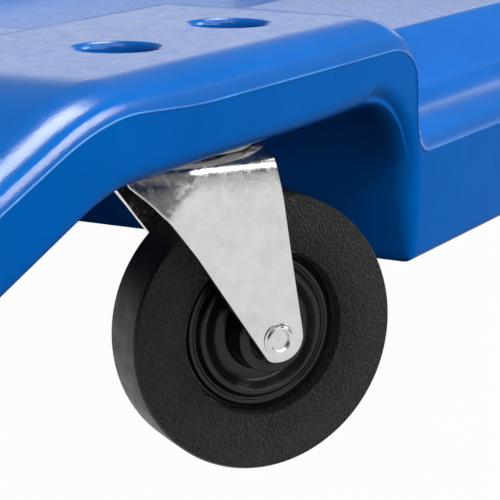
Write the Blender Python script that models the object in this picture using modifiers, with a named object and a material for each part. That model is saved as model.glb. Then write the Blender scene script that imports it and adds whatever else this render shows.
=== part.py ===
"""Mechanics creeper with six swivel casters, a hollow moulded deck and a screwed-on headrest.

Frame: metres, +Z up, floor at z = 0 under the middle of the deck. +X points to the head end,
-Y is the right-hand side seen from the foot end.
"""
import math

import bmesh
import bpy
from mathutils import Matrix

MM = 0.001
GAP = 0.3 * MM                      # clearance left between pieces that touch

# Deck, seen from above
DECK_LENGTH = 1016 * MM
DECK_WIDTH = 480 * MM
CORNER_RADIUS = 45 * MM
HALF_LENGTH = DECK_LENGTH / 2
HALF_WIDTH = DECK_WIDTH / 2

# Deck heights above the floor
PAD_TOP = 98.4 * MM                 # raised pads over the casters
BORDER_TOP = 86 * MM                # deck beside the pads and around the bed
BED_TOP = 62 * MM                   # floor of the sunk bed
LEDGE_TOP = 70 * MM                 # low ledge along each side
BED_UNDERSIDE = 38.6 * MM
SLAB = 17.8 * MM                    # thickness of the raised ends
WALL = 3 * MM                       # moulded wall
WALL_SHIFT = 1.5 * MM               # how far a steep wall of the hollow stands back

# Deck edges
RIM_RADIUS = 10.6 * MM
RIM_DROP = 7.2 * MM                 # from a flat down to the mould's parting line
PAD_INNER_EDGE = (169 * MM, 176 * MM)
LEDGE_WALL = (207 * MM, 215 * MM)
BED_SIDE = (118 * MM, 142 * MM)
BED_END = (228 * MM, 262 * MM)
FOLD = (401 * MM, 419 * MM)         # where the ends start to slope down
LIP = (480 * MM, 496 * MM)          # where the slope runs out again
SLOPE = math.tan(math.radians(19.5))
VENT_RADIUS = 4 * MM                # blow-pin holes in the underside

# Wheel wells, measured from a swivel axis
PAD_FLAT = 46 * MM
PAD_EDGE = 62 * MM
PAD_FOOT = 65 * MM
WELL_FILLET = 44 * MM
WELL_CREST = 58.5 * MM
WELL_WALL = 59.5 * MM
WELL_FILLET_SHARE = 1 / 3           # part of the well's height that the fillet takes
MID_WELL_INNER = 150 * MM
MID_WELL_FILLET = (151 * MM, 164 * MM)

# Tool trays
TRAY_X = (100 * MM, 250 * MM)
TRAY_Y = (152 * MM, 200 * MM)
TRAY_FLOOR = 64 * MM
TRAY_CORNER = 9 * MM

# Caster positions and rest angles: the direction in which each wheel trails, from +X
CORNER_X = 343 * MM
SWIVEL_Y = 210.4 * MM
CASTERS = {
    "foot_right": (-CORNER_X, -SWIVEL_Y, -34.8),
    "foot_left": (-CORNER_X, SWIVEL_Y, 34.8),
    "mid_right": (0.0, -SWIVEL_Y, -18.0),
    "mid_left": (0.0, SWIVEL_Y, 11.0),
    "head_right": (CORNER_X, -SWIVEL_Y, -25.0),
    "head_left": (CORNER_X, SWIVEL_Y, 30.0),
}

# Wheel: radii, and half widths across the wheel
WHEEL_RADIUS = 31.75 * MM
TYRE_BORE = 19.1 * MM
TREAD_HALF = 5.2 * MM
SHOULDER = (30.55 * MM, 6.8 * MM)
SIDEWALL = (24.1 * MM, 7.4 * MM)
TYRE_BORE_HALF = 6.2 * MM
CORE_RADIUS = TYRE_BORE - GAP
CORE_HALF = 3 * MM
CORE_BEAD = [(13.4 * MM, 5.2 * MM), (16 * MM, 4.6 * MM)]
HUB_HALF = 10.9 * MM
HUB_RADIUS = 8.2 * MM
DISH_HALF = 3.4 * MM
AXLE_RADIUS = 2.7 * MM
RIVET_FLANGE = 3.7 * MM
RIVET_HOLLOW = 2.2 * MM
RIVET_LENGTH = 1.3 * MM             # beyond the outer face of each leg
TRAIL = 18.4 * MM                   # swivel axis to axle

# Fork
SHEET = 2 * MM
LEG_HALF = 13.3 * MM                # middle of the wheel to the outer face of a leg
CROWN_TOP = 74.4 * MM
BEND_RADIUS = 3.6 * MM
LEG_END_RADIUS = 5.5 * MM
LEG_END_ARC = (216, 368)            # degrees, from the back edge round to the front edge
LEG_FRONT = [(21.3 * MM, 49.5 * MM), (19.4 * MM, 63 * MM), (18 * MM, 70 * MM),
             (16.8 * MM, CROWN_TOP + 1 * MM)]
LEG_BACK = [(-14.4 * MM, CROWN_TOP + 1 * MM), (-14.3 * MM, 67.5 * MM),
            (-12.8 * MM, 65 * MM), (4.4 * MM, 41.3 * MM)]

# Mounting plate, bearing and fasteners
PLATE_TOP = PAD_TOP - SLAB - GAP
PLATE_THICKNESS = 2.3 * MM
PLATE_END_RADIUS = 9.5 * MM
PLATE_WAIST_RADIUS = 19 * MM
BOLT_SPACING = 46.4 * MM
CUP_RADIUS = 8.5 * MM
CUP_FLOOR = 86.6 * MM
BOLT_RADIUS = 3 * MM
BOLT_HEAD_RADIUS = 5.6 * MM
BOLT_HEAD_LOW = 75.1 * MM
BOLT_TOP = 95 * MM
KINGPIN_RADIUS = 3.7 * MM
KINGPIN_HEADS = (7 * MM, 6 * MM)    # radius under the crown, and in the plate
KINGPIN_SEAT = 1.1 * MM             # depth of the plate's counterbore
BALL_CAGE = (13 * MM, 16.4 * MM)

# Headrest
HEADREST_X = (294 * MM, 402 * MM)
HEADREST_HALF_WIDTH = 155 * MM
BOARD_MARGIN = 4 * MM
BOARD_CORNER = 14 * MM
BOARD_THICKNESS = 6 * MM
PAD_EDGE_RADIUS = 12 * MM
HEADREST_TOP = 121 * MM
SCREW_X = 348 * MM
SCREW_Y = 95 * MM
SCREW_RADIUS = 2.2 * MM
SCREW_HEAD = (4.6 * MM, 3.4 * MM)   # radius at the deck, and at the bottom
SCREW_HEAD_HEIGHT = 2.6 * MM


# --- helpers -------------------------------------------------------------------------------

def clear_scene():
    for item in list(bpy.data.objects):
        bpy.data.objects.remove(item, do_unlink=True)


def new_collection(name):
    collection = bpy.data.collections.new(name)
    bpy.context.scene.collection.children.link(collection)
    return collection


def make_material(name, colour, roughness, metallic=0.0):
    material = bpy.data.materials.new(name)
    material.use_nodes = True
    shader = material.node_tree.nodes["Principled BSDF"]
    shader.inputs["Base Color"].default_value = (*colour, 1.0)
    shader.inputs["Roughness"].default_value = roughness
    shader.inputs["Metallic"].default_value = metallic
    material.diffuse_color = (*colour, 1.0)
    return material


def make_object(name, mesh, collection, material=None):
    item = bpy.data.objects.new(name, mesh)
    collection.objects.link(item)
    if material and not mesh.materials:
        mesh.materials.append(material)
    return item


def mesh_from(name, bm):
    mesh = bpy.data.meshes.new(name)
    bm.to_mesh(mesh)
    bm.free()
    return mesh


def make_cutter(name, mesh):
    cutter = make_object(name, mesh, cutters)
    cutter.hide_render = True
    cutter.display_type = "WIRE"
    return cutter


def cut(item, other, operation="DIFFERENCE"):
    modifier = item.modifiers.new(other.name, "BOOLEAN")
    modifier.operation = operation
    modifier.solver = "EXACT"
    modifier.object = other


def applied_mesh(item):
    """The mesh of item with its modifiers applied; the item itself is removed."""
    bpy.context.view_layer.update()
    evaluated = item.evaluated_get(bpy.context.evaluated_depsgraph_get())
    mesh = bpy.data.meshes.new_from_object(evaluated)
    mesh.name = item.name
    bpy.data.objects.remove(item, do_unlink=True)
    return mesh


def turned_mesh(name, profile, steps, closed=False):
    """A profile of (radius, height) points turned around Z."""
    bm = bmesh.new()
    points = [bm.verts.new((radius, 0, height)) for radius, height in profile]
    for start, end in zip(points, points[1:]):
        bm.edges.new((start, end))
    if closed:
        bm.edges.new((points[-1], points[0]))
    item = make_object(name, mesh_from(name, bm), cutters)
    screw = item.modifiers.new("turn", "SCREW")
    screw.steps = steps
    screw.render_steps = steps
    screw.use_merge_vertices = True
    screw.merge_threshold = 0.00001
    mesh = applied_mesh(item)
    mesh.shade_smooth()
    mesh.set_sharp_from_angle(angle=math.radians(40))
    return mesh


def add_cylinder(bm, centre, radius, bottom, top, segments):
    made = bmesh.ops.create_cone(bm, cap_ends=True, segments=segments, radius1=radius,
                                 radius2=radius, depth=top - bottom)
    bmesh.ops.translate(bm, verts=made["verts"],
                        vec=(centre[0], centre[1], (top + bottom) / 2))


def add_box(bm, low, high):
    made = bmesh.ops.create_cube(bm, size=1)
    size = [top - bottom for bottom, top in zip(low, high)]
    middle = [(top + bottom) / 2 for bottom, top in zip(low, high)]
    bmesh.ops.scale(bm, verts=made["verts"], vec=size)
    bmesh.ops.translate(bm, verts=made["verts"], vec=middle)
    return made["verts"]


def outline_mesh(name, points, low, high):
    """A flat outline in XY, given thickness from low to high."""
    bm = bmesh.new()
    face = bm.faces.new([bm.verts.new((x, y, low)) for x, y in points])
    grown = bmesh.ops.extrude_face_region(bm, geom=[face])["geom"]
    moved = [part for part in grown if isinstance(part, bmesh.types.BMVert)]
    bmesh.ops.translate(bm, verts=moved, vec=(0, 0, high - low))
    bmesh.ops.recalc_face_normals(bm, faces=bm.faces)
    return mesh_from(name, bm)


def arc(centre, radius, start, end, steps):
    """Points on an arc, angles in degrees."""
    angles = [math.radians(start + (end - start) * i / steps) for i in range(steps + 1)]
    return [(centre[0] + radius * math.cos(a), centre[1] + radius * math.sin(a))
            for a in angles]


# --- deck form -----------------------------------------------------------------------------

def ramp(value, span):
    return min(1.0, max(0.0, (value - span[0]) / (span[1] - span[0])))


def quarter_round(share):
    """0 where a rounding starts, 1 where it ends steeply."""
    share = min(1.0, max(0.0, share))
    return 1 - math.sqrt(1 - share * share)


def eased_run(value, span):
    """How far value is past a soft bend that starts and ends at span."""
    start, end = span
    if value <= start:
        return 0.0
    if value >= end:
        return value - (start + end) / 2
    return (value - start) ** 2 / (2 * (end - start))


def slope_drop(along):
    return SLOPE * (eased_run(along, FOLD) - eased_run(along, LIP))


def pad_share(along):
    """1 over a caster pad, 0 away from it; along is |x|."""
    offset = min(along, CORNER_X - along)
    if offset <= PAD_FLAT:
        return 1.0
    if offset <= PAD_EDGE:
        return 1 - 0.25 * quarter_round((offset - PAD_FLAT) / (PAD_EDGE - PAD_FLAT))
    return 0.75 * (1 - ramp(offset, (PAD_EDGE, PAD_FOOT)))


def rim_drop(x, y):
    """The rounding of the deck's upper edge, all round its outline."""
    beyond_x = max(0.0, abs(x) - (HALF_LENGTH - CORNER_RADIUS))
    beyond_y = max(0.0, abs(y) - (HALF_WIDTH - CORNER_RADIUS))
    if beyond_x and beyond_y:
        inset = CORNER_RADIUS - math.hypot(beyond_x, beyond_y)
    else:
        inset = CORNER_RADIUS - max(beyond_x, beyond_y)
    return RIM_DROP * quarter_round(1 - inset / RIM_RADIUS)


def deck_top(x, y):
    along, across = abs(x), abs(y)
    bed = min(1 - ramp(across, BED_SIDE), 1 - ramp(along, BED_END))
    low = (BORDER_TOP - (BORDER_TOP - BED_TOP) * bed
           - (BORDER_TOP - LEDGE_TOP) * ramp(across, LEDGE_WALL))
    high = BORDER_TOP + (PAD_TOP - BORDER_TOP) * ramp(across, PAD_INNER_EDGE)
    share = pad_share(along)
    if along < CORNER_X / 2 and across < PAD_INNER_EDGE[0]:
        share = 0.0
    return low + (high - low) * share - slope_drop(along) - rim_drop(x, y)


def well_share(offset):
    """1 inside a wheel well, 0 beyond its end wall."""
    if offset <= WELL_CREST:
        fillet = (offset - WELL_FILLET) / (WELL_CREST - WELL_FILLET)
        return 1 - WELL_FILLET_SHARE * quarter_round(fillet)
    return (1 - WELL_FILLET_SHARE) * (1 - ramp(offset, (WELL_CREST, WELL_WALL)))


def mid_well_share(across):
    crest = 1 - WELL_FILLET_SHARE
    if across <= MID_WELL_FILLET[0]:
        return crest * ramp(across, (MID_WELL_INNER, MID_WELL_FILLET[0]))
    return 1 - WELL_FILLET_SHARE * quarter_round(1 - ramp(across, MID_WELL_FILLET))


def deck_underside(x, y):
    along, across = abs(x), abs(y)
    slab = (BORDER_TOP - SLAB - slope_drop(along)
            + (PAD_TOP - BORDER_TOP) * ramp(across, PAD_INNER_EDGE))
    if along < CORNER_X / 2:
        slab = PAD_TOP - SLAB
        share = well_share(along) * mid_well_share(across)
    else:
        share = well_share(CORNER_X - along)
    return BED_UNDERSIDE + (slab - BED_UNDERSIDE) * share


def hollow_top(x, y):
    nearby = [(x + i * WALL_SHIFT, y + j * WALL_SHIFT) for i in (-1, 0, 1) for j in (-1, 0, 1)]
    return min(deck_top(*place) for place in nearby) - WALL


def hollow_underside(x, y):
    nearby = [(x + i * WALL_SHIFT, y + j * WALL_SHIFT) for i in (-1, 0, 1) for j in (-1, 0, 1)]
    return max(deck_underside(*place) for place in nearby) + WALL


def rounded_corner(x, y):
    """Bends the corner squares of the grid into quarter discs."""
    over_x = abs(x) - (HALF_LENGTH - CORNER_RADIUS)
    over_y = abs(y) - (HALF_WIDTH - CORNER_RADIUS)
    if over_x <= 0 or over_y <= 0:
        return x, y
    reach = max(over_x, over_y)
    if over_x >= over_y:
        angle = math.pi / 4 * over_y / over_x
    else:
        angle = math.pi / 2 - math.pi / 4 * over_x / over_y
    bent_x = HALF_LENGTH - CORNER_RADIUS + reach * math.cos(angle)
    bent_y = HALF_WIDTH - CORNER_RADIUS + reach * math.sin(angle)
    return math.copysign(bent_x, x), math.copysign(bent_y, y)


def mirrored(lines):
    """Positive grid lines and their mirror images, in order."""
    positive = sorted(set(lines))
    return [-line for line in reversed(positive) if line > 0] + positive


def sheet_pair(name, lines_x, lines_y, top, underside, place, inside=None):
    """A closed form between two height fields over the grid cells that lie inside."""
    bm = bmesh.new()
    upper, lower = {}, {}
    for i, x in enumerate(lines_x):
        for j, y in enumerate(lines_y):
            px, py = place(x, y)
            upper[i, j] = bm.verts.new((px, py, top(px, py)))
            lower[i, j] = bm.verts.new((px, py, underside(px, py)))
    cells = set()
    for i in range(len(lines_x) - 1):
        for j in range(len(lines_y) - 1):
            middle = ((lines_x[i] + lines_x[i + 1]) / 2, (lines_y[j] + lines_y[j + 1]) / 2)
            if inside is None or inside(*middle):
                cells.add((i, j))
    for i, j in cells:
        ring = [(i, j), (i + 1, j), (i + 1, j + 1), (i, j + 1)]
        bm.faces.new([upper[key] for key in ring])
        bm.faces.new([lower[key] for key in reversed(ring)])
        beyond = [(i, j - 1), (i + 1, j), (i, j + 1), (i - 1, j)]
        for side, cell in enumerate(beyond):
            if cell not in cells:
                start, end = ring[side], ring[(side + 1) % 4]
                bm.faces.new([upper[end], upper[start], lower[start], lower[end]])
    loose = [vert for vert in bm.verts if not vert.link_faces]
    bmesh.ops.delete(bm, geom=loose, context="VERTS")
    bmesh.ops.recalc_face_normals(bm, faces=bm.faces)
    bmesh.ops.dissolve_limit(bm, angle_limit=math.radians(0.4), verts=bm.verts, edges=bm.edges)
    return mesh_from(name, bm)


# --- deck ----------------------------------------------------------------------------------

def deck_lines():
    well = [PAD_FLAT, 53 * MM, WELL_CREST, WELL_WALL, PAD_EDGE, PAD_FOOT]
    rim = [0, 1.5 * MM, 5 * MM, RIM_RADIUS, CORNER_RADIUS / 2, CORNER_RADIUS]
    fold = [FOLD[0], sum(FOLD) / 2, FOLD[1], LIP[0], sum(LIP) / 2]
    along = [0, *well, *BED_END, *[CORNER_X - offset for offset in well], *fold,
             *[HALF_LENGTH - inset for inset in rim]]
    across = [0, *BED_SIDE, MID_WELL_INNER, MID_WELL_FILLET[0], sum(MID_WELL_FILLET) / 2,
              MID_WELL_FILLET[1], *PAD_INNER_EDGE, *LEDGE_WALL,
              *[HALF_WIDTH - inset for inset in rim]]
    return mirrored(along), mirrored(across)


def bolt_places():
    return [(x + side * BOLT_SPACING / 2, y) for x, y, angle in CASTERS.values()
            for side in (-1, 1)]


def screw_places():
    return [(SCREW_X, -SCREW_Y), (SCREW_X, SCREW_Y)]


def tray_box(bm, grow, floor, top):
    """The two tool trays, one on each side, as boxes with rounded upright edges."""
    for side in (-1, 1):
        across = sorted((side * (TRAY_Y[0] - grow), side * (TRAY_Y[1] + grow)))
        verts = add_box(bm, (TRAY_X[0] - grow, across[0], floor),
                        (TRAY_X[1] + grow, across[1], top))
        edges = {edge for vert in verts for edge in vert.link_edges}
        upright = [edge for edge in edges
                   if abs(edge.verts[0].co.z - edge.verts[1].co.z) > 1 * MM]
        bmesh.ops.bevel(bm, geom=upright, offset=TRAY_CORNER, segments=3, affect="EDGES",
                        profile=0.5)


def hollow_blocks():
    """What stays solid inside the hollow: columns at the fasteners and the tray walls."""
    bm = bmesh.new()
    for place in bolt_places():
        add_cylinder(bm, place, CUP_RADIUS + WALL, 0, 2 * PAD_TOP, 16)
    for place in screw_places():
        add_cylinder(bm, place, SCREW_RADIUS + 2 * WALL, 0, 2 * PAD_TOP, 12)
    tray_box(bm, WALL, TRAY_FLOOR - WALL, 2 * PAD_TOP)
    return make_cutter("hollow_blocks", mesh_from("hollow_blocks", bm))


def in_bed_hollow(x, y):
    clear_of_well = abs(x) > PAD_FOOT + WALL
    return clear_of_well or abs(y) < MID_WELL_INNER - WALL


def make_deck_hollows(blocks):
    """Three air spaces: one in the bed and one in each raised end."""
    shift = WALL_SHIFT
    bed_x = [0, PAD_FOOT + WALL, BED_END[0] - shift, BED_END[1] - shift,
             CORNER_X - PAD_FOOT - WALL]
    bed_y = [0, BED_SIDE[0] - shift, BED_SIDE[1] - shift, MID_WELL_INNER - WALL,
             LEDGE_WALL[0] - shift, LEDGE_WALL[1] - shift, HALF_WIDTH - RIM_RADIUS,
             HALF_WIDTH - WALL]
    end_x = [CORNER_X - PAD_FLAT + shift, FOLD[0], sum(FOLD) / 2, FOLD[1], LIP[0],
             sum(LIP) / 2, HALF_LENGTH - 5 * MM]
    end_y = [0, PAD_INNER_EDGE[0] - shift, PAD_INNER_EDGE[0] + shift,
             PAD_INNER_EDGE[1] - shift, PAD_INNER_EDGE[1] + shift,
             HALF_WIDTH - CORNER_RADIUS, HALF_WIDTH - RIM_RADIUS, HALF_WIDTH - 4 * MM]
    spans = {"bed": mirrored(bed_x), "head": end_x, "foot": [-x for x in reversed(end_x)]}
    hollows = []
    for name, lines_x in spans.items():
        lines_y = mirrored(bed_y if name == "bed" else end_y)
        inside = in_bed_hollow if name == "bed" else None
        mesh = sheet_pair(f"{name}_hollow", lines_x, lines_y, hollow_top, hollow_underside,
                          rounded_corner, inside)
        hollow = make_cutter(f"{name}_hollow", mesh)
        cut(hollow, blocks)
        hollows.append(hollow)
    return hollows


def deck_recesses():
    """Access cups over the bolts, tool trays and the blow-pin vents."""
    bm = bmesh.new()
    for place in bolt_places():
        add_cylinder(bm, place, CUP_RADIUS, CUP_FLOOR, PAD_TOP + 10 * MM, 20)
    vents = [(0, BED_UNDERSIDE), (CORNER_X, BORDER_TOP - SLAB), (-CORNER_X, BORDER_TOP - SLAB)]
    for x, level in vents:
        add_cylinder(bm, (x, 0), VENT_RADIUS, level - 5 * MM, level + WALL + 1 * MM, 12)
    tray_box(bm, 0, TRAY_FLOOR, PAD_TOP)
    return make_cutter("deck_recesses", mesh_from("deck_recesses", bm))


def deck_bores():
    """Bolt holes under the cups and the headrest's screw holes."""
    bm = bmesh.new()
    for place in bolt_places():
        add_cylinder(bm, place, BOLT_RADIUS + GAP, PLATE_TOP - 5 * MM, CUP_FLOOR + 5 * MM, 10)
    for place in screw_places():
        add_cylinder(bm, place, SCREW_RADIUS + GAP, BORDER_TOP - SLAB - 5 * MM,
                     BORDER_TOP + 5 * MM, 8)
    return make_cutter("deck_bores", mesh_from("deck_bores", bm))


def make_deck():
    lines_x, lines_y = deck_lines()
    mesh = sheet_pair("deck_shell", lines_x, lines_y, deck_top, deck_underside,
                      rounded_corner)
    deck = make_object("deck_shell", mesh, creeper, blue_plastic)
    for hollow in make_deck_hollows(hollow_blocks()):
        cut(deck, hollow)
    cut(deck, deck_recesses())
    cut(deck, deck_bores())


# --- casters -------------------------------------------------------------------------------

def both_faces(face):
    """A wheel's profile from the (radius, offset) points of one face."""
    return face + [(radius, -offset) for radius, offset in reversed(face)]


def tyre_mesh():
    face = [(TYRE_BORE, TYRE_BORE_HALF), SIDEWALL, SHOULDER, (WHEEL_RADIUS, TREAD_HALF)]
    return turned_mesh("tyre", both_faces(face), 24, closed=True)


def wheel_core_mesh():
    """Hub boss, sunk dish, raised bead and a deep groove next to the tyre."""
    face = [(AXLE_RADIUS + GAP, HUB_HALF), (HUB_RADIUS, HUB_HALF),
            (HUB_RADIUS + 0.4 * MM, DISH_HALF), *CORE_BEAD, (CORE_RADIUS, CORE_HALF)]
    return turned_mesh("wheel_core", both_faces(face), 16, closed=True)


def axle_rivet_mesh():
    """Rivet with a rolled, hollow flange outside each leg of the fork."""
    leg = LEG_HALF + GAP
    end = leg + RIVET_LENGTH
    floor = leg - GAP
    face = [(0, floor), (RIVET_HOLLOW, floor), (RIVET_HOLLOW + 0.2 * MM, end),
            (RIVET_FLANGE - 0.4 * MM, end), (RIVET_FLANGE, leg), (AXLE_RADIUS, leg)]
    return turned_mesh("axle_rivet", both_faces(face), 10)


def kingpin_mesh():
    """Rivet through the plate and the fork's crown, headed at both ends."""
    top = PLATE_TOP - 0.1 * MM
    under_crown = CROWN_TOP - SHEET - GAP
    lower_head, upper_head = KINGPIN_HEADS
    profile = [(0, top), (upper_head, top), (KINGPIN_RADIUS, top - 0.7 * MM),
               (KINGPIN_RADIUS, under_crown), (lower_head, under_crown),
               (lower_head - 1 * MM, under_crown - 1.9 * MM), (0, under_crown - 2.2 * MM)]
    return turned_mesh("kingpin", profile, 12)


def ball_cage_mesh():
    low = CROWN_TOP + GAP
    high = PLATE_TOP - PLATE_THICKNESS - GAP
    inner, outer = BALL_CAGE
    profile = [(inner, high), (outer, high), (outer, low), (inner, low)]
    return turned_mesh("ball_cage", profile, 16, closed=True)


def bolt_mesh():
    """Low-headed bolt that comes up through the plate and the deck into the cup."""
    seat = PLATE_TOP - PLATE_THICKNESS - GAP
    profile = [(0, BOLT_TOP), (BOLT_RADIUS, BOLT_TOP), (BOLT_RADIUS, seat),
               (BOLT_HEAD_RADIUS, seat), (BOLT_HEAD_RADIUS - 1 * MM, BOLT_HEAD_LOW),
               (0, BOLT_HEAD_LOW)]
    return turned_mesh("bolt", profile, 8)


def plate_mesh():
    """Oval plate: a round middle with an ear at each bolt."""
    ear = BOLT_SPACING / 2
    lean = math.degrees(math.acos((PLATE_WAIST_RADIUS - PLATE_END_RADIUS) / ear))
    corner = arc((ear, 0), PLATE_END_RADIUS, 0, lean, 3)
    side = arc((0, 0), PLATE_WAIST_RADIUS, lean, 180 - lean, 4)
    half = corner + side + [(-x, y) for x, y in reversed(corner)]
    outline = half[:-1] + [(-x, -y) for x, y in half[:-1]]
    bottom = PLATE_TOP - PLATE_THICKNESS
    plate = make_object("plate", outline_mesh("plate", outline, bottom, PLATE_TOP), cutters)
    bm = bmesh.new()
    for side_x in (-ear, ear):
        add_cylinder(bm, (side_x, 0), BOLT_RADIUS + GAP, bottom - 5 * MM, PAD_TOP, 10)
    bolt_holes = make_object("bolt_holes", mesh_from("bolt_holes", bm), cutters)
    seat = PLATE_TOP - KINGPIN_SEAT
    counterbore = KINGPIN_HEADS[1] + GAP + 0.1 * MM
    stepped = [(0, PAD_TOP), (counterbore, PAD_TOP), (counterbore, seat),
               (KINGPIN_RADIUS + GAP, seat), (KINGPIN_RADIUS + GAP, bottom - 5 * MM),
               (0, bottom - 5 * MM)]
    pin_hole = make_object("pin_hole", turned_mesh("pin_hole", stepped, 12), cutters)
    cut(plate, bolt_holes)
    cut(plate, pin_hole)
    mesh = applied_mesh(plate)
    for helper in (bolt_holes, pin_hole):
        bpy.data.objects.remove(helper, do_unlink=True)
    return mesh


def fork_section():
    """Outline of the folded sheet across the fork: two legs joined by the crown."""
    bend = (LEG_HALF - BEND_RADIUS, CROWN_TOP - BEND_RADIUS)
    foot = WHEEL_RADIUS - 10 * MM
    outside = [(LEG_HALF, foot), *arc(bend, BEND_RADIUS, 0, 90, 3)]
    inside = [*arc(bend, BEND_RADIUS - SHEET, 90, 0, 3), (LEG_HALF - SHEET, foot)]
    return (outside + [(-y, z) for y, z in reversed(outside)]
            + [(-y, z) for y, z in reversed(inside)] + inside)


def fork_side():
    """Side outline of the legs: x along the trail from the swivel axis, and height."""
    heel = arc((TRAIL, WHEEL_RADIUS), LEG_END_RADIUS, *LEG_END_ARC, 5)
    return heel + LEG_FRONT + LEG_BACK


def fork_mesh():
    across = outline_mesh("fork", fork_section(), -40 * MM, 40 * MM)
    across.transform(Matrix(((0, 0, 1, 0), (1, 0, 0, 0), (0, 1, 0, 0), (0, 0, 0, 1))))
    along = outline_mesh("fork_side", fork_side(), -20 * MM, 20 * MM)
    along.transform(Matrix.Rotation(math.radians(90), 4, "X"))
    fork = make_object("fork", across, cutters)
    side = make_object("fork_side", along, cutters)
    bm = bmesh.new()
    add_cylinder(bm, (0, 0), KINGPIN_RADIUS + GAP, CROWN_TOP - 8 * MM, PAD_TOP, 12)
    pin_hole = make_object("crown_hole", mesh_from("crown_hole", bm), cutters)
    bm = bmesh.new()
    add_cylinder(bm, (0, 0), AXLE_RADIUS + GAP, -20 * MM, 20 * MM, 10)
    axle_hole = make_object("axle_hole", mesh_from("axle_hole", bm), cutters)
    axle_hole.location = (TRAIL, 0, WHEEL_RADIUS)
    axle_hole.rotation_euler = (math.radians(90), 0, 0)
    cut(fork, side, "INTERSECT")
    cut(fork, pin_hole)
    cut(fork, axle_hole)
    mesh = applied_mesh(fork)
    for helper in (side, pin_hole, axle_hole):
        bpy.data.objects.remove(helper, do_unlink=True)
    return mesh


def make_empty(name, location, turn=0.0, parent=None):
    empty = make_object(name, None, creeper)
    empty.location = location
    empty.rotation_euler = (0, 0, turn)
    empty.parent = parent
    return empty


def make_casters():
    """Six casters that share their meshes; the swivel and the axle each have an empty."""
    fixed = {"plate": (plate_mesh(), zinc), "kingpin": (kingpin_mesh(), dark_steel)}
    turning = {"fork": (fork_mesh(), zinc), "ball_cage": (ball_cage_mesh(), dark_steel)}
    rolling = {"wheel_core": (wheel_core_mesh(), black_nylon),
               "tyre": (tyre_mesh(), black_rubber)}
    rivet, bolt = axle_rivet_mesh(), bolt_mesh()
    for place, (x, y, angle) in CASTERS.items():
        for piece, (mesh, material) in fixed.items():
            make_object(f"{place}_{piece}", mesh, creeper, material).location = (x, y, 0)
        for end, side in (("near", -1), ("far", 1)):
            spot = (x + side * BOLT_SPACING / 2, y, 0)
            make_object(f"{place}_{end}_bolt", bolt, creeper, dark_steel).location = spot
        swivel = make_empty(f"{place}_swivel_axis", (x, y, 0), math.radians(angle))
        axle = make_empty(f"{place}_wheel_axis", (TRAIL, 0, WHEEL_RADIUS), parent=swivel)
        for piece, (mesh, material) in turning.items():
            make_object(f"{place}_{piece}", mesh, creeper, material).parent = swivel
        for piece, (mesh, material) in {**rolling, "axle_rivet": (rivet, zinc)}.items():
            item = make_object(f"{place}_{piece}", mesh, creeper, material)
            item.rotation_euler = (math.radians(90), 0, 0)
            item.parent = axle


# --- headrest ------------------------------------------------------------------------------

def rounded_block(name, low, high, radius, segments, every_edge):
    bm = bmesh.new()
    verts = add_box(bm, low, high)
    edges = {edge for vert in verts for edge in vert.link_edges}
    if not every_edge:
        edges = [edge for edge in edges
                 if abs(edge.verts[0].co.z - edge.verts[1].co.z) > 1 * MM]
    bmesh.ops.bevel(bm, geom=list(edges), offset=radius, segments=segments, affect="EDGES",
                    profile=0.5)
    return mesh_from(name, bm)


def screw_mesh():
    seat = BORDER_TOP - SLAB - GAP
    top = BORDER_TOP + GAP + BOARD_THICKNESS - 0.5 * MM
    head = seat - SCREW_HEAD_HEIGHT
    profile = [(0, top), (SCREW_RADIUS, top), (SCREW_RADIUS, seat), (SCREW_HEAD[0], seat),
               (SCREW_HEAD[1], head), (0, head)]
    return turned_mesh("headrest_screw", profile, 10)


def make_headrest():
    board_low = BORDER_TOP + GAP
    board_high = board_low + BOARD_THICKNESS
    half = HEADREST_HALF_WIDTH - BOARD_MARGIN
    board_box = ((HEADREST_X[0] + BOARD_MARGIN, -half, board_low),
                 (HEADREST_X[1] - BOARD_MARGIN, half, board_high))
    board = make_object("headrest_board", rounded_block("headrest_board", *board_box,
                        BOARD_CORNER, 3, every_edge=False), creeper, plywood)
    bm = bmesh.new()
    for spot in screw_places():
        add_cylinder(bm, spot, SCREW_RADIUS + GAP, board_low - 5 * MM, board_high + 5 * MM, 10)
    cut(board, make_cutter("board_holes", mesh_from("board_holes", bm)))
    pad_box = ((HEADREST_X[0], -HEADREST_HALF_WIDTH, board_high + GAP),
               (HEADREST_X[1], HEADREST_HALF_WIDTH, HEADREST_TOP))
    make_object("headrest_pad", rounded_block("headrest_pad", *pad_box, PAD_EDGE_RADIUS, 3,
                every_edge=True), creeper, black_vinyl)
    screw = screw_mesh()
    for side, spot in zip(("right", "left"), screw_places()):
        item = make_object(f"headrest_{side}_screw", screw, creeper, zinc)
        item.location = (*spot, 0)


clear_scene()
creeper = new_collection("mechanics_creeper")
cutters = new_collection("cutters")
blue_plastic = make_material("blue_plastic", (0.0, 0.13, 0.55), 0.42)
black_rubber = make_material("black_rubber", (0.03, 0.03, 0.03), 0.6)
black_nylon = make_material("black_nylon", (0.015, 0.015, 0.015), 0.35)
zinc = make_material("zinc", (0.75, 0.75, 0.74), 0.22, 1.0)
dark_steel = make_material("dark_steel", (0.35, 0.35, 0.36), 0.35, 1.0)
plywood = make_material("plywood", (0.45, 0.3, 0.16), 0.7)
black_vinyl = make_material("black_vinyl", (0.02, 0.02, 0.02), 0.45)
make_deck()
make_casters()
make_headrest()
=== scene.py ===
"""Looks of the mechanics creeper: moulded deck, casters and headrest around the CAD frame.

Metres, in the CAD frame: +Z up, floor at z = 0, +X towards the head end.
"""
from math import acos, atan2, cos, degrees, dist, hypot, pi, radians, sin, sqrt, tan

import bmesh
import bpy
import numpy as np
from mathutils import Matrix, Vector
from mathutils.bvhtree import BVHTree


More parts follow.
